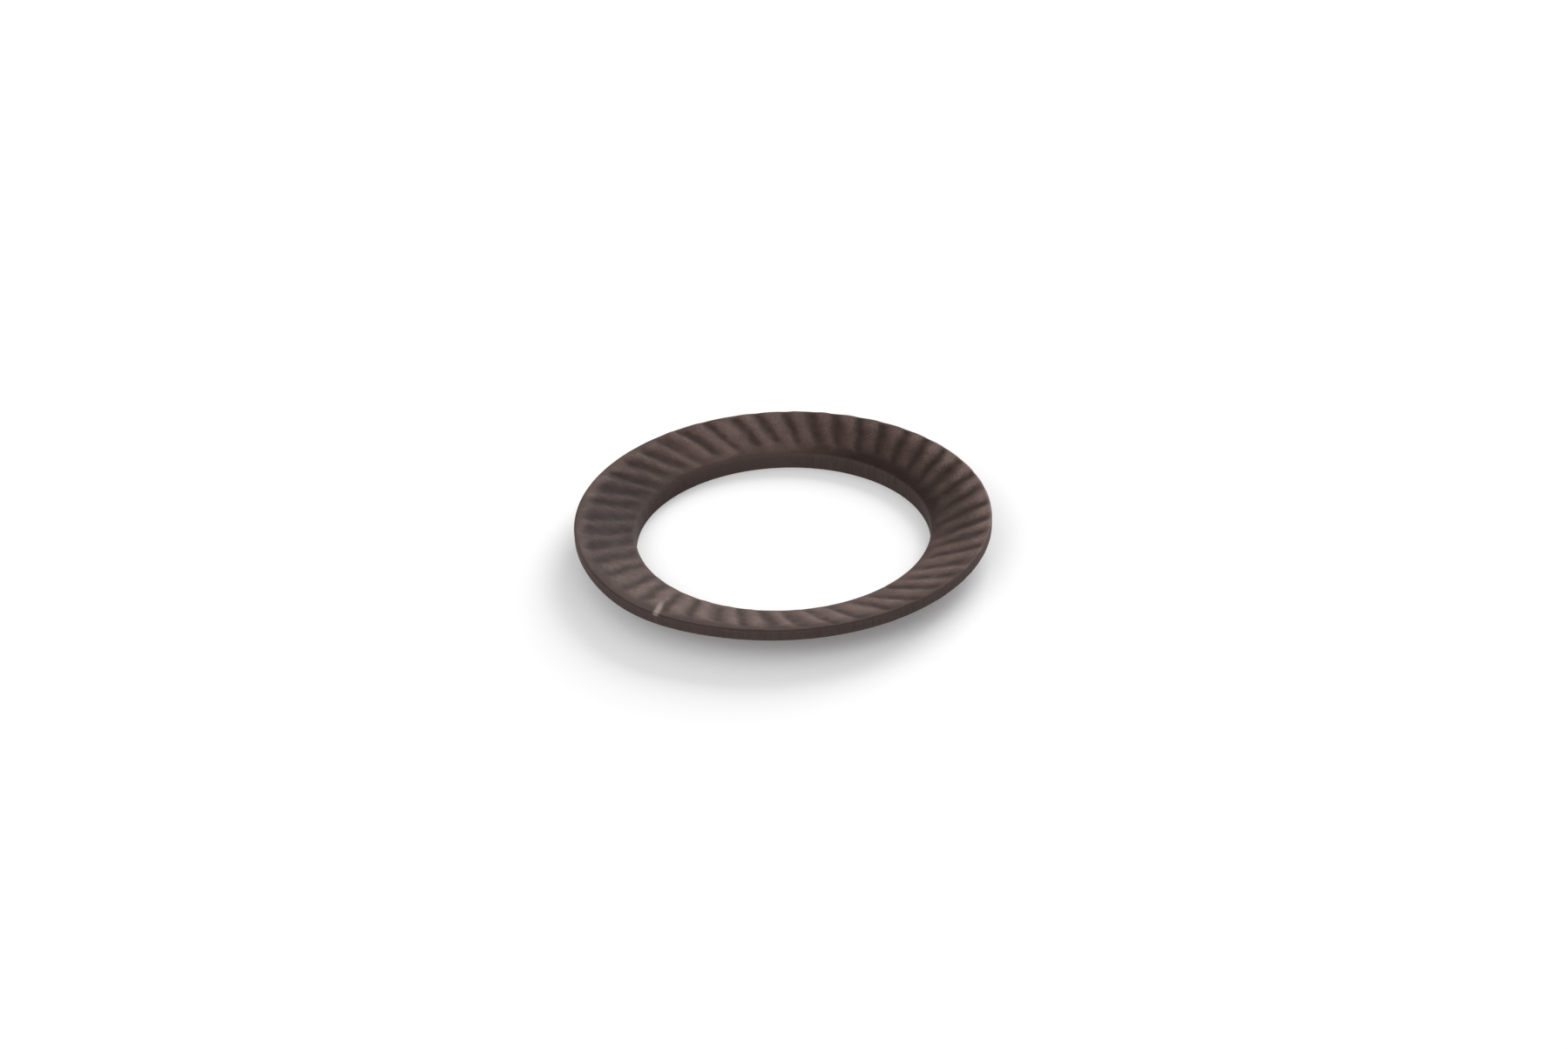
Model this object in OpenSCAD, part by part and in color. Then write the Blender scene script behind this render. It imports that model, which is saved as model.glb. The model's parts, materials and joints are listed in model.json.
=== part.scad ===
// Dished lock washer with slanted grooves and ribs stamped into both faces.
// It lies as it comes to rest: the bore's lower edge is down at z = 0, and the rim stands up.
// The bore's axis is Z, and sizes are in millimetres.

/* [Ring] */
// Diameter of the bore, a clearance hole for a 16 mm screw
bore_d = 17; // [14:0.1:20.4]
// Diameter over the rim
outer_d = 24; // [22:0.1:29]
// Free height, from the edge that it rests on to the top of the rim
free_h = 2.05; // [1.7:0.05:2.5]
// Thickness of the ring at the bore, along the axis
bore_wall = 1.05; // [0.85:0.05:1.3]
// Thickness of the ring at the rim, along the axis
rim_wall = 0.65; // [0.55:0.05:0.8]
// Width of the flat land under the bore's edge, which it rests on
land_w = 0.12; // [0.05:0.01:0.3]
// Width of the broken corners at the bore and the rim
corner = 0.07; // [0.03:0.01:0.1]

/* [Grooves] */
// Number of grooves round each face, with a rib between each two
groove_count = 45; // [30:1:54]
// Angle between a groove and the radius that crosses it halfway
groove_slant = 21; // [0:1:30]
// Width of a groove, halfway along
groove_w = 0.66; // [0.4:0.02:0.8]
// Depth of a groove at its outer end
groove_deep = 0.2; // [0.1:0.01:0.24]
// Depth of a groove at its inner end
groove_shallow = 0.12; // [0.06:0.01:0.2]
// Plain margin between the grooves and the rim
groove_rim_margin = 0.55; // [0.4:0.05:0.8]
// Plain margin between the grooves and the bore
groove_bore_margin = 0.2; // [0:0.05:0.4]

/* [Ribs] */
// Height of the ribs above the plain face, along the axis
rib_h = 0.06; // [0.02:0.01:0.07]
// Plain margin between the ribs and the rim
rib_rim_margin = 0.7; // [0.7:0.05:0.9]
// Plain margin between the ribs and the bore
rib_bore_margin = 0.65; // [0.65:0.05:0.9]

/* [Off-centre stamping] */
// Distance from the bore's axis to the middle of the grooves, across
shift_x = 0.3; // [-0.3:0.05:0.3]
// Distance from the bore's axis to the middle of the grooves, front to back
shift_y = 0.22; // [-0.24:0.02:0.24]
// Turn of the first groove from the X axis
first_groove = 4; // [0:0.5:8]

/* [Finish] */
// Colour of the phosphated steel
finish_color = [0.35, 0.30, 0.295];

/* [Hidden] */

bore_r = bore_d / 2;
outer_r = outer_d / 2;
groove_step = 360 / groove_count;
over = 1; // overrun of a cutter past what it cuts
ring_fn = 180; // facets round the ring
bar_fn = 32; // facets round a groove's cutter

// Each plain face is a cone, given by its height at the bore and at the rim's corner.
upper_face = [bore_wall, free_h];
lower_face = [0, free_h - rim_wall];

// Every groove follows a straight line that passes the stamping's middle at this distance.
line_offset = (bore_r + outer_r) / 2 * sin(groove_slant);

function slope(face) = (face[1] - face[0]) / (outer_r - corner - bore_r);

function face_z(face, r) = face[0] + (r - bore_r) * slope(face);

// Radius of a round bar that meets a face over this width when it is this deep in it.
function bar_r(width, depth) = (width * width / 4 + depth * depth) / (2 * depth);

// Half the width over which such a bar meets the face at another depth.
function half_w(r, depth) = sqrt(2 * r * depth - depth * depth);

// A point at radius r from the stamping's middle, on a groove's line, and out of the face by
// lift, square to it. side is 1 for the upper face, where a groove's outer end is turned
// counter-clockwise of its inner one, and -1 for the lower face, where it is turned clockwise.
function seat(face, side, turn, r, lift) =
    let (line = -side * line_offset,
         along = sqrt(r * r - line * line),
         x = shift_x + along * cos(turn) - line * sin(turn),
         y = shift_y + along * sin(turn) + line * cos(turn),
         ring_r = norm([x, y]),
         lean = atan(slope(face)),
         inward = 1 - side * lift * sin(lean) / ring_r)
    [x * inward, y * inward, face_z(face, ring_r) + side * lift * cos(lean)];

// The ring before its bore is cut: a cone above, a cone below, and the land it rests on.
module blank() {
    start_r = bore_r - over / 2;
    rotate_extrude($fn = ring_fn)
        polygon([
            [start_r, 0],
            [bore_r + corner + land_w, 0],
            [outer_r - corner, lower_face[1]],
            [outer_r, lower_face[1] + corner],
            [outer_r, free_h - corner],
            [outer_r - corner, free_h],
            [start_r, face_z(upper_face, start_r)]
        ]);
}

// The band round the stamping's middle where the metal stands up between the grooves. It stays
// between the plane that the washer rests on and the top of the rim.
module raised_band() {
    intersection() {
        rotate_extrude($fn = ring_fn)
            polygon([
                [bore_r, lower_face[0] - rib_h],
                [outer_r, face_z(lower_face, outer_r) - rib_h],
                [outer_r, face_z(upper_face, outer_r) + rib_h],
                [bore_r, upper_face[0] + rib_h]
            ]);
        translate([shift_x, shift_y, 0])
            rotate_extrude($fn = ring_fn)
                translate([bore_r + rib_bore_margin, 0])
                    square([outer_r - bore_r - rib_rim_margin - rib_bore_margin, free_h]);
    }
}

// The bore and its two broken corners, as one turned cutter.
module bore_cutter() {
    rotate_extrude($fn = ring_fn)
        polygon([
            [0, -over],
            [bore_r + corner + over, -over],
            [bore_r, corner],
            [bore_r, bore_wall - corner],
            [bore_r + corner + over, bore_wall + over],
            [0, bore_wall + over]
        ]);
}

// Children stood up along Z, laid from one point to another with their -X side up.
module laid(from, to) {
    run = to - from;
    translate(from)
        rotate([0, acos(run.z / norm(run)), atan2(run.y, run.x)])
            children();
}

// A bar along Z with round ends, whose centres are this length apart.
module bar(length, r) {
    rotate_extrude($fn = bar_fn)
        intersection() {
            union() {
                circle(r);
                translate([0, length]) circle(r);
                square([r, length]);
            }
            translate([0, -2 * r]) square([2 * r, length + 4 * r]);
        }
}

// One groove's cutter, which lies deeper at its outer end.
module groove(face, side, turn) {
    r = bar_r(groove_w, (groove_deep + groove_shallow) / 2);
    start_r = bore_r + groove_bore_margin + half_w(r, groove_shallow);
    end_r = outer_r - groove_rim_margin - half_w(r, groove_deep);
    from = seat(face, side, turn, start_r, r - groove_shallow);
    to = seat(face, side, turn, end_r, r - groove_deep);
    laid(from, to) bar(norm(to - from), r);
}

// The grooves cut right across the raised band on both faces, and leave it as ribs.
module washer() {
    color(finish_color)
        difference() {
            union() {
                blank();
                raised_band();
            }
            for (i = [0 : groove_count - 1]) {
                turn = first_groove + i * groove_step;
                groove(upper_face, 1, turn);
                groove(lower_face, -1, turn);
            }
            bore_cutter();
        }
}

washer();
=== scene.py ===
"""A dished lock washer of phosphated steel, with slanted ribs on both faces, on a pale floor.

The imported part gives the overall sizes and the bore. The visible ring is one closed surface worked
out over it: a rounded section carried round the axis, with the stamped grooves and ribs as lift
along the surface's own normals.
"""

import json
import logging
import math
from dataclasses import dataclass, field
from enum import Enum

import bpy
import numpy as np
from mathutils import Matrix, Vector


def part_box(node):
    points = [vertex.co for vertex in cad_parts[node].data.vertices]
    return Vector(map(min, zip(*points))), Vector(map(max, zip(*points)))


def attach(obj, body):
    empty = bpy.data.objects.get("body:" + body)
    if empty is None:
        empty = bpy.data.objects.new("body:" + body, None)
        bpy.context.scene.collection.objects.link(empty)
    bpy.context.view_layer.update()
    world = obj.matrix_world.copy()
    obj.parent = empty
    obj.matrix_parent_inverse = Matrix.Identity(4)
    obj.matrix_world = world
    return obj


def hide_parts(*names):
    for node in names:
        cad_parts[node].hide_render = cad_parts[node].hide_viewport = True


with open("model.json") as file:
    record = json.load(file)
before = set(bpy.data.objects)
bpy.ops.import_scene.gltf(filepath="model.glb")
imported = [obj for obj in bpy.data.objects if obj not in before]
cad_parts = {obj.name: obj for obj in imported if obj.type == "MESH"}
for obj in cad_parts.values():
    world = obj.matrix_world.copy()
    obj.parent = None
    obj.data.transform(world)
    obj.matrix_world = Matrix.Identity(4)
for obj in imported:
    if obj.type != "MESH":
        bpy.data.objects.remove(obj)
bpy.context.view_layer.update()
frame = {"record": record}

NODE = "washer"
MM = 0.001
FLUSH = 0.008 * MM  # how far the rim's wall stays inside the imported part's box
ON_ARC = -1  # marks outline points that are on a rounded corner and not on a straight stretch
MIX_SHARE, MIX_FIRST, MIX_SECOND, MIX_COLOUR = 0, 6, 7, 2  # a Mix node's sockets for colours

Colour = tuple[float, float, float, float]

log = logging.getLogger("washer_scene")


class Face(Enum):
    """The two stamped faces of the ring. The value is the side of the ring that a face is on."""

    UPPER = 1
    LOWER = -1


class Edge(Enum):
    """The straight stretches of the ring's section, in the order in which the section runs."""

    UPPER_FACE = 0
    RIM_WALL = 1
    LOWER_FACE = 2
    LAND = 3
    BORE_WALL = 4


def smooth(values: np.ndarray, low: float, high: float) -> np.ndarray:
    """Eases from 0 at low to 1 at high, by three times t squared less twice t cubed.

    Args:
        values: The numbers to ease.
        low: Where the result leaves 0.
        high: Where the result reaches 1.

    Returns:
        An array of the same shape, from 0 to 1.
    """
    t = np.clip((values - low) / (high - low), 0.0, 1.0)
    return t * t * (3.0 - 2.0 * t)


def linear(red: int, green: int, blue: int) -> Colour:
    """Turns a display colour into the linear one that a shader takes, by the usual display curve.

    A part of up to 0.04045 is divided by 12.92. To a greater one 0.055 is added, the sum is divided
    by 1.055, and that is raised to the power 2.4.

    Args:
        red: Red, from 0 to 255.
        green: Green, from 0 to 255.
        blue: Blue, from 0 to 255.

    Returns:
        The linear colour with full opacity.
    """
    parts = np.array([red, green, blue]) / 255.0
    light = np.where(parts <= 0.04045, parts / 12.92, ((parts + 0.055) / 1.055) ** 2.4)
    return (float(light[0]), float(light[1]), float(light[2]), 1.0)


@dataclass(frozen=True)
class Unevenness:
    """A gentle, repeatable unevenness, as a sum of plane waves or of waves round a circle."""

    seed: int
    waves: int = 18
    length_spread: tuple[float, float] = (0.6, 1.7)
    weight_spread: tuple[float, float] = (0.4, 1.0)

    def over_plane(self, x: np.ndarray, y: np.ndarray, length: float) -> np.ndarray:
        """Sums cosines of random direction whose wavelengths are near the given length.

        Args:
            x: First coordinates.
            y: Second coordinates.
            length: The middle of the wavelengths, in the units of x and y.

        Returns:
            The sum, mostly within -1 to 1.
        """
        rng = np.random.default_rng(self.seed)
        heading = rng.uniform(0.0, 2.0 * math.pi, self.waves)
        pitch = 2.0 * math.pi / (length * rng.uniform(*self.length_spread, self.waves))
        phase = rng.uniform(0.0, 2.0 * math.pi, self.waves)
        run = np.multiply.outer(x, np.cos(heading)) + np.multiply.outer(y, np.sin(heading))
        return np.cos(run * pitch + phase).sum(axis=-1) / math.sqrt(self.waves)

    def round_circle(self, angle: np.ndarray, lowest: int, highest: int) -> np.ndarray:
        """Sums cosines of whole numbers of waves round the circle, so that the ends meet.

        Args:
            angle: Angles in radians.
            lowest: The fewest waves in one turn.
            highest: The most waves in one turn.

        Returns:
            The sum, mostly within -1 to 1.
        """
        rng = np.random.default_rng(self.seed)
        counts = np.arange(lowest, highest + 1)
        phase = rng.uniform(0.0, 2.0 * math.pi, counts.size)
        weight = rng.uniform(*self.weight_spread, counts.size)
        run = np.multiply.outer(angle, counts) + phase
        return (np.cos(run) * weight).sum(axis=-1) / np.sqrt((weight**2).sum())


@dataclass
class Section:
    """The ring's section in the plane of radius and height, with five rounded corners."""

    bore_r: float
    outer_r: float
    height: float
    bore_wall: float = 1.05 * MM
    rim_wall: float = 0.65 * MM
    land: float = 0.19 * MM
    bore_top_round: float = 0.22 * MM
    rim_top_round: float = 0.11 * MM
    rim_foot_round: float = 0.09 * MM
    land_edge_round: float = 0.05 * MM
    bore_foot_round: float = 0.06 * MM
    steps: tuple[int, ...] = (31, 4, 25, 1, 4)
    corner_steps: int = 3

    def corners(self) -> np.ndarray:
        """Gives the sharp corners, from the bore's top outwards over the rim and back underneath.

        Returns:
            Five rows of radius and height.
        """
        return np.array(
            [
                [self.bore_r, self.bore_wall],
                [self.outer_r, self.height],
                [self.outer_r, self.height - self.rim_wall],
                [self.bore_r + self.land, 0.0],
                [self.bore_r, 0.0],
            ]
        )

    def outline(self) -> "Outline":
        """Rounds each corner with an arc that touches both of its sides, and samples the whole.

        An arc of radius q at a corner whose sides meet at the angle w begins q over tan(w / 2) from
        the corner. Its middle lies q over sin(w / 2) from the corner, on the line that halves the
        angle. Straight stretches are cut into even steps between the arcs.

        Returns:
            The sampled outline, closed, without its first point repeated.
        """
        corners = self.corners()
        rounds = (
            self.bore_top_round,
            self.rim_top_round,
            self.rim_foot_round,
            self.land_edge_round,
            self.bore_foot_round,
        )
        arcs = [self._arc(corners, i, size) for i, size in enumerate(rounds)]
        points, normals, edges = [], [], []
        for i, count in enumerate(self.steps):
            start, end = arcs[i][0][-1], arcs[(i + 1) % len(arcs)][0][0]
            share = np.linspace(0.0, 1.0, count + 2)[1:-1]
            points += [arcs[i][0], start + np.multiply.outer(share, end - start)]
            normals += [arcs[i][1], np.tile(arcs[i][1][-1], (count, 1))]
            edges += [np.full(len(arcs[i][0]), ON_ARC), np.full(count, i)]
        return Outline(*(np.concatenate(part) for part in (points, normals, edges)))

    def _arc(self, corners: np.ndarray, i: int, radius: float) -> tuple[np.ndarray, np.ndarray]:
        """Samples the arc that rounds one corner.

        Args:
            corners: The sharp corners.
            i: Which corner.
            radius: The arc's radius.

        Returns:
            The points, and the outward normals at them.
        """
        before = corners[i - 1] - corners[i]
        after = corners[(i + 1) % len(corners)] - corners[i]
        before = before / np.linalg.norm(before)
        after = after / np.linalg.norm(after)
        half = 0.5 * math.acos(float(np.clip(before @ after, -1.0, 1.0)))
        halving = (before + after) / np.linalg.norm(before + after)
        middle = corners[i] + halving * radius / math.sin(half)
        first = corners[i] + before * radius / math.tan(half) - middle
        last = corners[i] + after * radius / math.tan(half) - middle
        begin = math.atan2(first[1], first[0])
        sweep = (math.atan2(last[1], last[0]) - begin + math.pi) % (2.0 * math.pi) - math.pi
        angle = begin + sweep * np.linspace(0.0, 1.0, self.corner_steps + 1)
        normals = np.stack([np.cos(angle), np.sin(angle)], axis=1)
        return middle + radius * normals, normals


@dataclass(frozen=True)
class Outline:
    """A sampled section: each point, its normal, and the stretch it is on (ON_ARC on an arc)."""

    points: np.ndarray
    normals: np.ndarray
    edges: np.ndarray


@dataclass
class Stamping:
    """The slanted grooves and the ribs between them, pressed a little off the ring's centre."""

    bore_r: float
    outer_r: float
    count: int = 45
    slant: float = math.radians(21.0)
    middle_x: float = 0.22 * MM
    middle_y: float = 0.22 * MM
    first_groove: float = math.radians(4.0)
    end_beyond_rim: float = 0.10 * MM
    groove_deep_in: float = 0.022 * MM
    groove_deep_out: float = 0.040 * MM
    rib_high_in: float = 0.008 * MM
    rib_high_out: float = 0.018 * MM
    groove_narrowing: float = 0.35
    tone_in: float = 0.6
    tip: float = 0.12 * MM
    soft_end: float = 0.70 * MM
    spacing_play: float = 0.045
    strength_play: float = 0.15
    end_play: float = 0.16 * MM
    play_waves: tuple[int, int] = (3, 47)
    waver: float = 0.045 * MM
    waver_length: float = 1.7 * MM
    waver_seeds: tuple[int, int] = (21, 22)
    tremor: float = 0.022 * MM
    tremor_length: float = 0.65 * MM
    tremor_seed_step: int = 4
    blotch: float = 0.22
    blotch_length: float = 1.1 * MM
    blotch_seed: int = 31
    streak_offset: float = 5.3 * MM
    streak_angle: float = math.radians(260.2)
    streak_half_width: float = 0.20 * MM
    streak_high: float = 0.035 * MM
    streak_start: float = 0.6 * MM  # measured inwards from the middle of the faces
    streak_full: float = 0.4 * MM  # measured inwards from the rim
    play_seed: int = 40
    play_seed_step: int = 10

    @property
    def middle_r(self) -> float:
        """The radius in the middle of the faces."""
        return 0.5 * (self.bore_r + self.outer_r)

    @property
    def line_offset(self) -> float:
        """How far each groove's straight line passes from the stamping's middle."""
        return self.middle_r * math.sin(self.slant)

    @property
    def step(self) -> float:
        """The angle from one groove to the next."""
        return 2.0 * math.pi / self.count

    def relief(self, x: np.ndarray, y: np.ndarray, face: Face) -> tuple[np.ndarray, ...]:
        """Works out how far the pattern lifts the face at each point.

        A point's angle about the stamping's middle, turned back along the slant, is the same all
        along one groove. Divided by the step from groove to groove it gives the place p in the
        pattern, and the wave (1 - cos(2 pi p)) / 2 is 0 in the middle of a groove and 1 on a rib's
        crest. A rib lifts the face by its height times the wave, and a groove sinks it by its
        depth times what is left. Each fades out softly towards the bore and the rim, the ribs a
        little later than the grooves, and a groove also narrows to a blunt point as it fades.

        Args:
            x: Coordinates across.
            y: Coordinates from front to back.
            face: The face that the points are on.

        Returns:
            The lift, and how much groove darkening (a thicker coat and painted shade) and how much
            rib lightening (wear and painted highlight) each point has, both from 0 to about 1 and
            weaker towards the bore.
        """
        px = x - self.middle_x + self._sway(self.waver_seeds[0], x, y)
        py = y - self.middle_y + self._sway(self.waver_seeds[1], x, y)
        far = np.hypot(px, py)
        lean = np.arcsin(np.clip(self.line_offset / far, -1.0, 1.0))
        turn = np.arctan2(py, px) + face.value * lean
        spacing, force, start_play, end_play = (
            Unevenness(self.play_seed + self.play_seed_step * i + face.value).round_circle(
                turn, *self.play_waves
            )
            for i in range(4)
        )
        place = (turn - self.first_groove) / self.step + self.spacing_play * spacing
        blotches = Unevenness(self.blotch_seed + face.value).over_plane(x, y, self.blotch_length)
        strength = 1.0 + self.strength_play * force + self.blotch * blotches
        start = self.bore_r + self.end_play * start_play
        end = self.outer_r + self.end_beyond_rim + self.end_play * end_play
        share = np.clip((far - start) / (end - start), 0.0, 1.0)
        wave = 0.5 - 0.5 * np.cos(2.0 * math.pi * place)
        ribs = self._inside(far, start - self.tip, end + self.tip) * wave * strength
        inside = self._inside(far, start + self.tip, end - self.tip)
        left = np.clip(1.0 - wave - self.groove_narrowing * (1.0 - inside), 0.0, 1.0)
        grooves = inside * left * strength
        high = self.rib_high_in + (self.rib_high_out - self.rib_high_in) * share
        deep = self.groove_deep_in + (self.groove_deep_out - self.groove_deep_in) * share
        tone = self.tone_in + (1.0 - self.tone_in) * share
        return high * ribs - deep * grooves, tone * grooves, tone * ribs

    def _sway(self, seed: int, x: np.ndarray, y: np.ndarray) -> np.ndarray:
        """Gives how far the pattern strays sideways: a slow wave with a finer one on it.

        Args:
            seed: Which pair of waves.
            x: Coordinates across.
            y: Coordinates from front to back.

        Returns:
            The distance at each point.
        """
        slow = Unevenness(seed).over_plane(x, y, self.waver_length)
        fine = Unevenness(seed + self.tremor_seed_step).over_plane(x, y, self.tremor_length)
        return self.waver * slow + self.tremor * fine

    def _inside(self, far: np.ndarray, start: np.ndarray, end: np.ndarray) -> np.ndarray:
        """Gives 1 between two radii, fading to 0 at each of them over the length of a soft end.

        Args:
            far: Distances from the stamping's middle.
            start: The inner radius for each point.
            end: The outer radius for each point.

        Returns:
            A share from 0 to 1.
        """
        return smooth(far - start, 0.0, self.soft_end) * smooth(end - far, 0.0, self.soft_end)

    def streak(self, x: np.ndarray, y: np.ndarray) -> np.ndarray:
        """Works out the one raised streak that is rubbed bright where it runs over the rim.

        It follows a straight line that passes the axis at its own offset. A bell curve across that
        line gives its width, and it grows from nothing in the middle of the face.

        Args:
            x: Coordinates across.
            y: Coordinates from front to back.

        Returns:
            How much of the streak there is at each point, from 0 to 1.
        """
        far = np.hypot(x, y)
        turn = np.arctan2(y, x) + np.arcsin(np.clip(self.streak_offset / far, -1.0, 1.0))
        away = (turn - self.streak_angle + math.pi) % (2.0 * math.pi) - math.pi
        along = smooth(far, self.middle_r - self.streak_start, self.outer_r - self.streak_full)
        return along * np.exp(-((away * far / self.streak_half_width) ** 2))


@dataclass(frozen=True)
class Patch:
    """A stretch of the ring, from one radius to another, painted darker as shade or lighter as
    highlight.
    """

    angle: float
    spread: float
    start: float
    end: float
    strength: float
    fade: float = 0.8 * MM

    def amount(self, x: np.ndarray, y: np.ndarray) -> np.ndarray:
        """Works out how strong the patch is at each point.

        Round the ring it falls by exp(-(away / spread) to the power 4), which is flat in the
        middle. Before its first radius and past its last one it is eased to nothing.

        Args:
            x: Coordinates across.
            y: Coordinates from front to back.

        Returns:
            The amount, from 0 to the patch's strength.
        """
        away = (np.arctan2(y, x) - self.angle + math.pi) % (2.0 * math.pi) - math.pi
        far = np.hypot(x, y)
        inside = smooth(far, self.start - self.fade, self.start)
        inside = inside * (1.0 - smooth(far, self.end, self.end + self.fade))
        return self.strength * inside * np.exp(-((away / self.spread) ** 4))


@dataclass(frozen=True)
class Pattern:
    """One noise pattern: waves to a millimetre, finer layers, and how strong each of those is."""

    scale: float
    detail: float
    rough: float


@dataclass(frozen=True)
class Window:
    """A range of numbers, and the range that it is eased into."""

    low: float
    high: float
    to_low: float = 0.0
    to_high: float = 1.0


@dataclass
class NodeGraph:
    """Adds shader nodes to one material or world and joins them."""

    tree: bpy.types.NodeTree

    def add(self, kind: str, **settings: object) -> bpy.types.Node:
        """Adds a node.

        Args:
            kind: The node's type name.
            **settings: Properties to set on it.

        Returns:
            The node.
        """
        node = self.tree.nodes.new(kind)
        for name, value in settings.items():
            setattr(node, name, value)
        return node

    def join(self, source: bpy.types.NodeSocket, target: bpy.types.NodeSocket) -> None:
        """Joins an output to an input."""
        self.tree.links.new(source, target)

    def set(self, socket: bpy.types.NodeSocket, value: object) -> None:
        """Joins the value to an input if it is a socket, and writes it there if it isn't.

        Args:
            socket: The input.
            value: A socket, a number or a colour.
        """
        if isinstance(value, bpy.types.NodeSocket):
            self.join(value, socket)
        else:
            socket.default_value = value

    def maths(
        self, operation: str, first: object, second: object = 0.0, clamp: bool = False
    ) -> bpy.types.NodeSocket:
        """Adds one sum.

        Args:
            operation: The operation's name, such as MULTIPLY.
            first: A socket or a number.
            second: A socket or a number.
            clamp: Whether the result is held between 0 and 1.

        Returns:
            The output socket.
        """
        node = self.add("ShaderNodeMath", operation=operation, use_clamp=clamp)
        self.set(node.inputs[0], first)
        self.set(node.inputs[1], second)
        return node.outputs[0]

    def remap(self, value: object, window: Window) -> bpy.types.NodeSocket:
        """Eases a number from one range into another, and holds it at the ends beyond.

        Args:
            value: A socket or a number.
            window: The two ranges.

        Returns:
            The output socket.
        """
        node = self.add("ShaderNodeMapRange", interpolation_type="SMOOTHSTEP")
        numbers = (value, window.low, window.high, window.to_low, window.to_high)
        for i, number in enumerate(numbers):
            self.set(node.inputs[i], number)
        return node.outputs[0]

    def less(self, value: object, share: float) -> bpy.types.NodeSocket:
        """Gives what is left of 1 when a share of the value is taken from it."""
        return self.maths("SUBTRACT", 1.0, self.maths("MULTIPLY", value, share))

    def mix(
        self, share: object, first: object, second: object, blend: str = "MIX"
    ) -> bpy.types.NodeSocket:
        """Mixes two colours.

        Args:
            share: How much of the second shows, a socket or a number.
            first: A colour or a socket.
            second: A colour or a socket.
            blend: How the second goes over the first, such as MIX or MULTIPLY.

        Returns:
            The output socket.
        """
        node = self.add("ShaderNodeMix", data_type="RGBA", blend_type=blend)
        self.set(node.inputs[MIX_SHARE], share)
        self.set(node.inputs[MIX_FIRST], first)
        self.set(node.inputs[MIX_SECOND], second)
        return node.outputs[MIX_COLOUR]

    def noise(self, place: bpy.types.NodeSocket, pattern: Pattern) -> bpy.types.NodeSocket:
        """Adds a noise pattern.

        Args:
            place: The coordinates to read it at, in millimetres.
            pattern: The pattern.

        Returns:
            The output socket, about 0 to 1.
        """
        node = self.add("ShaderNodeTexNoise")
        self.join(place, node.inputs["Vector"])
        node.inputs["Scale"].default_value = pattern.scale
        node.inputs["Detail"].default_value = pattern.detail
        node.inputs["Roughness"].default_value = pattern.rough
        return node.outputs[0]

    def attribute(self, name: str) -> bpy.types.NodeSocket:
        """Reads one of the mesh's own attributes as a number."""
        return self.add("ShaderNodeAttribute", attribute_name=name).outputs["Fac"]

    def millimetres(
        self, stretch: tuple[float, float, float] = (1.0, 1.0, 1.0)
    ) -> bpy.types.NodeSocket:
        """Gives the object coordinates in millimetres.

        Args:
            stretch: What each axis is also multiplied by.

        Returns:
            The output socket.
        """
        place = self.add("ShaderNodeTexCoord").outputs["Object"]
        mapping = self.add("ShaderNodeMapping")
        self.join(place, mapping.inputs["Vector"])
        mapping.inputs["Scale"].default_value = tuple(s / MM for s in stretch)
        return mapping.outputs[0]


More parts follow.
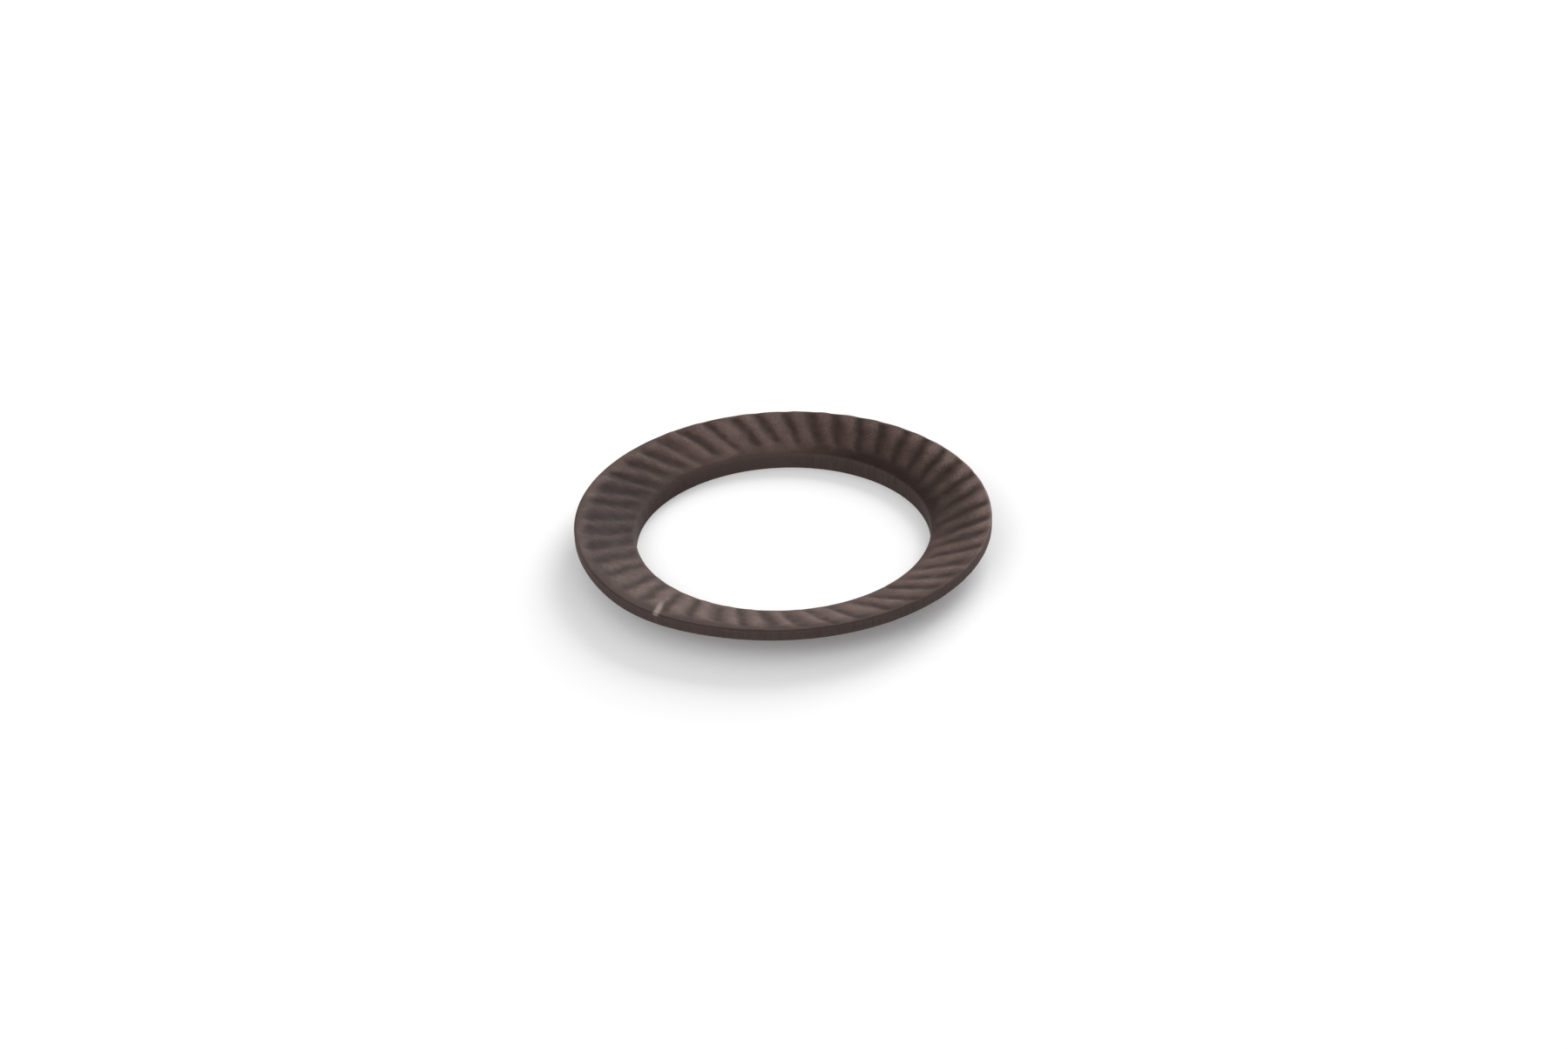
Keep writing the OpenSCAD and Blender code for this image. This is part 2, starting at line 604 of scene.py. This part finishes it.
@dataclass(frozen=True)
class PhosphateFinish:
    """Brown phosphate on spring steel: matt and crystalline, darker in the grooves for a thicker
    coat and painted shade, lighter on the crests and corners for rubbing and painted highlight,
    darker in patches of painted shade, with upright streaks on the sheared walls."""

    name: str = "phosphated_steel"
    coat: Colour = linear(89, 72, 67)
    coat_dark: Colour = linear(76, 61, 56)
    # painted shade: the grooves' colour, darker partly for a thicker coat and partly for the shade
    # that falls in them
    recess_coat_and_shade: Colour = linear(50, 37, 34)
    # painted highlight and wear: the crests' colour, lighter partly where the coat is rubbed thin
    # and partly for the light that catches them
    rubbed_and_highlit: Colour = linear(111, 92, 87)
    sheared: Colour = linear(77, 66, 63)
    # painted shade: multiplied into the colour over the shade patches
    patch_shade: Colour = linear(132, 114, 113)
    bright: Colour = linear(132, 116, 110)
    groove_share: float = 0.84
    rub_and_highlight_share: float = 0.88
    thick_evens_grooves: float = 0.45
    patch_shade_dims_crest: float = 0.8
    clouds: Pattern = Pattern(0.55, 4.0, 0.55)
    grain: Pattern = Pattern(7.0, 3.0, 0.6)
    crystals: Pattern = Pattern(24.0, 2.0, 0.6)
    shear_lines: Pattern = Pattern(1.6, 3.0, 0.6)
    shear_stretch: tuple[float, float, float] = (5.0, 5.0, 0.5)
    cloud_window: Window = Window(0.38, 0.64)
    groove_window: Window = Window(0.05, 0.95)
    shear_window: Window = Window(0.3, 0.7, 0.6, 1.0)
    rub_and_highlight_window: Window = Window(0.34, 0.66, 0.4, 1.0)
    streak_window: Window = Window(0.1, 0.9)
    roughness: Window = Window(0.3, 0.7, 0.51, 0.67)
    rub_polish: float = 0.10
    specular: float = 0.06
    grain_height: float = 0.010 * MM
    bump_strength: float = 0.7
    grain_in_bump: float = 0.7
    crystals_in_bump: float = 0.3
    shear_in_bump: float = 0.9

    def build(self) -> bpy.types.Material:
        """Makes the material.

        Returns:
            The material, with base colour, roughness and normal worked out by nodes.
        """
        material = bpy.data.materials.new(self.name)
        material.use_nodes = True
        graph = NodeGraph(material.node_tree)
        shader = material.node_tree.nodes["Principled BSDF"]
        place = graph.millimetres()
        grain = graph.noise(place, self.grain)
        crystals = graph.noise(place, self.crystals)
        shear_lines = graph.noise(graph.millimetres(self.shear_stretch), self.shear_lines)
        patch_shade = graph.attribute("patch_shade")
        wall = graph.attribute("wall")
        # painted highlight and wear: crests and corners are lightened, partly as rubbing and partly
        # as the light that catches them
        rub_and_highlight = graph.maths("MULTIPLY", graph.attribute("crest"), graph.remap(grain, self.rub_and_highlight_window))
        rub_and_highlight = graph.maths("MULTIPLY", rub_and_highlight, graph.less(patch_shade, self.patch_shade_dims_crest))

        colour = graph.remap(graph.noise(place, self.clouds), self.cloud_window)
        colour = graph.mix(colour, self.coat_dark, self.coat)
        # painted shade: the grooves are darkened, partly for a thicker coat in them and partly for
        # the shade that falls in them
        groove = graph.remap(graph.attribute("groove"), self.groove_window)
        groove = graph.maths("MULTIPLY", groove, graph.less(patch_shade, self.thick_evens_grooves))
        groove = graph.maths("MULTIPLY", groove, self.groove_share, True)
        colour = graph.mix(groove, colour, self.recess_coat_and_shade)
        # painted shade: stretches of the faces darkened where less light falls on them
        colour = graph.mix(patch_shade, colour, self.patch_shade, "MULTIPLY")
        shear = graph.maths("MULTIPLY", wall, graph.remap(shear_lines, self.shear_window), True)
        colour = graph.mix(shear, colour, self.sheared)
        colour = graph.mix(graph.maths("MULTIPLY", rub_and_highlight, self.rub_and_highlight_share, True), colour, self.rubbed_and_highlit)
        streak = graph.remap(graph.attribute("streak"), self.streak_window)
        graph.join(graph.mix(streak, colour, self.bright), shader.inputs["Base Color"])

        rough = graph.remap(crystals, self.roughness)
        rough = graph.maths("SUBTRACT", rough, graph.maths("MULTIPLY", rub_and_highlight, self.rub_polish))
        graph.join(rough, shader.inputs["Roughness"])
        shader.inputs["Specular IOR Level"].default_value = self.specular

        height = graph.maths("MULTIPLY", grain, self.grain_in_bump)
        finest = graph.maths("MULTIPLY", crystals, self.crystals_in_bump)
        height = graph.maths("ADD", height, finest)
        shear = graph.maths("MULTIPLY", shear_lines, wall)
        shear = graph.maths("MULTIPLY", shear, self.shear_in_bump)
        height = graph.maths("ADD", height, shear)
        bump = graph.add("ShaderNodeBump")
        bump.inputs["Strength"].default_value = self.bump_strength
        bump.inputs["Distance"].default_value = self.grain_height
        graph.join(height, bump.inputs["Height"])
        graph.join(bump.outputs[0], shader.inputs["Normal"])
        return material


@dataclass(frozen=True)
class PaleFloorFinish:
    """A matt pale floor that keeps shadows and shows as white where nothing shades it."""

    name: str = "pale_floor"
    shade: Colour = (0.88, 0.88, 0.88, 1.0)
    white: Colour = (1.0, 1.0, 1.0, 1.0)
    lift: float = 0.13

    def build(self) -> bpy.types.Material:
        """Makes the material: a matt shade, with a little light of its own for the camera alone.

        Returns:
            The material.
        """
        material = bpy.data.materials.new(self.name)
        material.use_nodes = True
        graph = NodeGraph(material.node_tree)
        shader = material.node_tree.nodes["Principled BSDF"]
        shader.inputs["Base Color"].default_value = self.shade
        shader.inputs["Roughness"].default_value = 1.0
        shader.inputs["Specular IOR Level"].default_value = 0.0
        shader.inputs["Emission Color"].default_value = self.white
        seen = graph.add("ShaderNodeLightPath").outputs["Is Camera Ray"]
        graph.join(graph.maths("MULTIPLY", seen, self.lift), shader.inputs["Emission Strength"])
        return material


@dataclass
class WasherRing:
    """The washer itself: one closed, stamped ring."""

    section: Section
    stamping: Stamping
    finish: PhosphateFinish = field(default_factory=PhosphateFinish)
    columns_per_groove: int = 26
    rim_bulge: float = 0.24 * MM
    bulge_angle: float = math.radians(228.0)
    bulge_spread: float = math.radians(19.0)
    # painted shade: stretches of the faces at the back right, the left and along the front rim,
    # darkened for the light that falls less on them
    shade_patches: tuple[Patch, ...] = (
        Patch(math.radians(42.0), math.radians(46.0), 8.0 * MM, 9.0 * MM, 0.30),
        Patch(math.radians(30.0), math.radians(52.0), 8.0 * MM, 10.9 * MM, 0.70),
        Patch(math.radians(170.0), math.radians(42.0), 8.0 * MM, 11.0 * MM, 0.80),
        Patch(math.radians(265.0), math.radians(75.0), 11.5 * MM, 12.5 * MM, 0.60),
    )
    # painted highlight: rib crests by the rim at the back right are made brighter still
    rib_end_highlight: Patch = Patch(math.radians(12.0), math.radians(34.0), 11.1 * MM, 12.2 * MM, 1.0)
    corner_rub: float = 0.2
    face_facing: tuple[float, float] = (0.0, 0.9)
    streak_facing: tuple[float, float] = (-0.3, 0.6)
    wall_facing: tuple[float, float] = (0.45, 0.95)
    wall_play: float = 0.012 * MM
    wall_waves: tuple[int, int] = (9, 130)
    wall_seed: int = 5
    name: str = "stamped_ring"

    def surface(self) -> tuple[np.ndarray, dict[str, np.ndarray]]:
        """Carries the section round the axis and lifts the faces by the stamping's relief.

        The point at angle a and outline place (r, z) is (r cos a, r sin a, z). The relief moves it
        along the section's own normal, in full where that faces up or down, and by less the more it
        faces sideways, so that grooves run out over the rounded corners. The raised streak does the
        same on the upper side.

        Returns:
            The grid of points, angle by outline by three, and the named attributes on it.
        """
        outline = self.section.outline()
        columns = self.columns_per_groove * self.stamping.count
        angle = np.arange(columns) * (2.0 * math.pi / columns)
        across, along = np.cos(angle)[:, None], np.sin(angle)[:, None]
        radius = np.tile(outline.points[:, 0], (columns, 1))
        height = np.tile(outline.points[:, 1], (columns, 1))
        radius = radius * (1.0 + self._bulge(angle)[:, None] * self._outer_share(outline)[None, :])
        x, y = radius * across, radius * along
        streak = self.stamping.streak(x, y)
        lift, groove, crest = np.zeros((3, *x.shape))
        for face in Face:
            share = smooth(face.value * outline.normals[:, 1], *self.face_facing)
            rows = share > 0.0
            relief = self.stamping.relief(x[:, rows], y[:, rows], face)
            lift[:, rows], groove[:, rows], crest[:, rows] = (part * share[rows] for part in relief)
        above = smooth(outline.normals[:, 1], *self.face_facing)
        lift = lift + self.stamping.streak_high * streak * above
        lift = lift + self._wall_lift(angle, outline)
        radius = radius + lift * outline.normals[:, 0]
        height = np.clip(height + lift * outline.normals[:, 1], 0.0, self.section.height)
        # painted highlight and wear: crests and rounded corners are marked for a lighter colour
        rub_and_highlight = np.maximum(crest, self.corner_rub * (outline.edges == ON_ARC))
        sideways = smooth(np.abs(outline.normals[:, 0]), *self.wall_facing)
        return np.stack([radius * across, radius * along, height], axis=-1), {
            "groove": groove,
            "crest": rub_and_highlight * (1.0 + self.rib_end_highlight.amount(x, y)),
            "streak": streak * smooth(outline.normals[:, 1], *self.streak_facing),
            "wall": np.tile(sideways, (columns, 1)),
            # painted shade: how much each point is darkened by the shade patches
            "patch_shade": np.clip(sum(patch.amount(x, y) for patch in self.shade_patches), 0.0, 1.0),
        }

    def _bulge(self, angle: np.ndarray) -> np.ndarray:
        """Works out how far the rim is pushed out, as a bell curve round one angle.

        Args:
            angle: The angle of each column.

        Returns:
            The push at each angle, as a share of the rim's radius.
        """
        away = (angle - self.bulge_angle + math.pi) % (2.0 * math.pi) - math.pi
        return self.rim_bulge / self.section.outer_r * np.exp(-((away / self.bulge_spread) ** 2))

    def _outer_share(self, outline: Outline) -> np.ndarray:
        """Gives 0 at the bore and 1 at the rim, eased, for each outline point."""
        return smooth(outline.points[:, 0], self.section.bore_r, self.section.outer_r)

    def _wall_lift(self, angle: np.ndarray, outline: Outline) -> np.ndarray:
        """Makes the sheared walls a little uneven round the ring, by waves held between two depths.

        Args:
            angle: The angle of each column.
            outline: The sampled section.

        Returns:
            An inward lift for each point, nothing on the faces.
        """
        ripple = Unevenness(self.wall_seed).round_circle(angle, *self.wall_waves)
        on_wall = (outline.edges == Edge.BORE_WALL.value) | (outline.edges == Edge.RIM_WALL.value)
        return -self.wall_play * (0.5 + 0.5 * np.tanh(ripple))[:, None] * on_wall[None, :]

    def build(self) -> bpy.types.Object:
        """Makes the mesh of the ring, closed both ways round, with its faces pointing outwards.

        Returns:
            The piece, at the origin.
        """
        points, attributes = self.surface()
        columns, rows = points.shape[:2]
        number = np.arange(columns * rows).reshape(columns, rows)
        beside = np.roll(number, -1, axis=0)
        quads = np.stack(
            [number, np.roll(number, -1, axis=1), np.roll(beside, -1, axis=1), beside], axis=-1
        ).reshape(-1, 4)
        mesh = bpy.data.meshes.new(self.name)
        mesh.vertices.add(columns * rows)
        mesh.vertices.foreach_set("co", points.reshape(-1).astype(np.float32))
        mesh.loops.add(quads.size)
        mesh.loops.foreach_set("vertex_index", quads.reshape(-1).astype(np.int32))
        mesh.polygons.add(len(quads))
        mesh.polygons.foreach_set("loop_start", np.arange(0, quads.size, 4, dtype=np.int32))
        mesh.update(calc_edges=True)
        mesh.polygons.foreach_set("use_smooth", np.ones(len(quads), dtype=bool))
        for name, values in attributes.items():
            layer = mesh.attributes.new(name, "FLOAT", "POINT")
            layer.data.foreach_set("value", values.reshape(-1).astype(np.float32))
        mesh.validate()
        piece = bpy.data.objects.new(self.name, mesh)
        bpy.context.scene.collection.objects.link(piece)
        return piece

    def dress(self, piece: bpy.types.Object) -> None:
        """Gives the piece its finish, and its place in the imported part.

        Args:
            piece: The ring.
        """
        piece.data.materials.append(self.finish.build())
        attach(piece, "root")
        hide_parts("washer")


@dataclass(frozen=True)
class Lamp:
    """One soft rectangular lamp, placed by its direction from the middle of the part."""

    name: str
    azimuth: float
    elevation: float
    distance: float
    size: float
    watts: float


@dataclass
class Studio:
    """The pale floor, the soft lamps, the plain surroundings and the camera."""

    centre: Vector
    floor_z: float
    floor_half: float = 0.20
    camera_distance: float = 144.0 * MM
    camera_azimuth: float = math.radians(270.0)
    camera_elevation: float = math.radians(31.9)
    camera_roll: float = math.radians(2.2)
    lens: float = 57.4
    sensor_width: float = 36.0
    clip_start: float = 5.0 * MM
    clip_end: float = 10.0
    aim_above_floor: float = 1.25 * MM
    aim_aside: float = 0.05 * MM
    surround: float = 0.60
    white: Colour = (1.0, 1.0, 1.0, 1.0)
    lamps: tuple[Lamp, ...] = (
        Lamp("key_lamp", 62.0, 24.0, 0.50, 0.30, 2.4),
        Lamp("fill_lamp", 225.0, 35.0, 0.50, 0.36, 0.6),
    )

    def build_floor(self) -> bpy.types.Object:
        """Makes the floor, a flat square at the height on which the part rests.

        Returns:
            The floor.
        """
        reach = self.floor_half
        mesh = bpy.data.meshes.new("floor")
        corners = [(-reach, -reach), (reach, -reach), (reach, reach), (-reach, reach)]
        mesh.from_pydata([(x, y, self.floor_z) for x, y in corners], [], [(0, 1, 2, 3)])
        mesh.materials.append(PaleFloorFinish().build())
        floor = bpy.data.objects.new("floor", mesh)
        bpy.context.scene.collection.objects.link(floor)
        return floor

    def build_lamps(self) -> None:
        """Places each lamp in its direction, turned to face the part."""
        for lamp in self.lamps:
            data = bpy.data.lights.new(lamp.name, "AREA")
            data.shape = "SQUARE"
            data.size = lamp.size
            data.energy = lamp.watts
            out = self._direction(math.radians(lamp.azimuth), math.radians(lamp.elevation))
            holder = bpy.data.objects.new(lamp.name, data)
            holder.location = self.centre + out * lamp.distance
            holder.rotation_euler = (-out).to_track_quat("-Z", "Y").to_euler()
            bpy.context.scene.collection.objects.link(holder)

    def build_surround(self) -> None:
        """Makes plain pale surroundings: white where seen directly or in gloss, softer as light."""
        world = bpy.data.worlds.new("surround")
        world.use_nodes = True
        bpy.context.scene.world = world
        graph = NodeGraph(world.node_tree)
        ground = world.node_tree.nodes["Background"]
        path = graph.add("ShaderNodeLightPath")
        seen = path.outputs["Is Camera Ray"]
        seen = graph.maths("MAXIMUM", seen, path.outputs["Is Transmission Ray"])
        seen = graph.maths("MAXIMUM", seen, path.outputs["Is Glossy Ray"])
        ground.inputs["Color"].default_value = self.white
        strength = graph.remap(seen, Window(0.0, 1.0, self.surround, 1.0))
        graph.join(strength, ground.inputs["Strength"])

    def build_camera(self) -> bpy.types.Object:
        """Places the camera in front of the part, looking down at it, with a slight roll.

        Returns:
            The camera.
        """
        data = bpy.data.cameras.new("camera")
        data.lens = self.lens
        data.sensor_width = self.sensor_width
        data.clip_start = self.clip_start
        data.clip_end = self.clip_end
        out = self._direction(self.camera_azimuth, self.camera_elevation)
        aim = Vector(
            (self.centre.x + self.aim_aside, self.centre.y, self.floor_z + self.aim_above_floor)
        )
        camera = bpy.data.objects.new("camera", data)
        facing = (-out).to_track_quat("-Z", "Y").to_matrix().to_4x4()
        turned = facing @ Matrix.Rotation(-self.camera_roll, 4, "Z")
        camera.matrix_world = Matrix.Translation(aim + out * self.camera_distance) @ turned
        bpy.context.scene.collection.objects.link(camera)
        bpy.context.scene.camera = camera
        return camera

    @staticmethod
    def _direction(azimuth: float, elevation: float) -> Vector:
        """Gives the unit vector at an angle round from +X and an angle above the floor.

        Args:
            azimuth: The angle round, in radians.
            elevation: The angle above the floor, in radians.

        Returns:
            The vector.
        """
        flat = math.cos(elevation)
        return Vector((math.cos(azimuth) * flat, math.sin(azimuth) * flat, math.sin(elevation)))

    def build(self) -> None:
        """Builds the whole studio and sets plain colour handling."""
        self.build_floor()
        self.build_lamps()
        self.build_surround()
        self.build_camera()
        bpy.context.scene.view_settings.view_transform = "Standard"


def bore_radius() -> float:
    """Reads the bore's radius, in metres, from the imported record's mounts.

    Returns:
        The radius.
    """
    bore = next(mount for mount in frame["record"]["mounts"] if mount["name"] == "bore")
    return bore["dims"]["r_mm"] * MM


def main() -> None:
    """Builds the studio and the washer, and reports each piece."""
    logging.basicConfig(level=logging.INFO, format="%(name)s: %(message)s")
    low, high = (Vector(corner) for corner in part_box(NODE))
    Studio(centre=(low + high) / 2.0, floor_z=low.z).build()
    log.info("studio built")
    bore_r = bore_radius()
    outer_r = (high.x - low.x) / 2.0 - FLUSH
    section = Section(bore_r=bore_r, outer_r=outer_r, height=high.z - low.z)
    ring = WasherRing(section=section, stamping=Stamping(bore_r=bore_r, outer_r=outer_r))
    piece = ring.build()
    ring.dress(piece)
    mesh = piece.data
    log.info("%s: %d vertices, %d faces", piece.name, len(mesh.vertices), len(mesh.polygons))


if __name__ == "__main__":
    main()
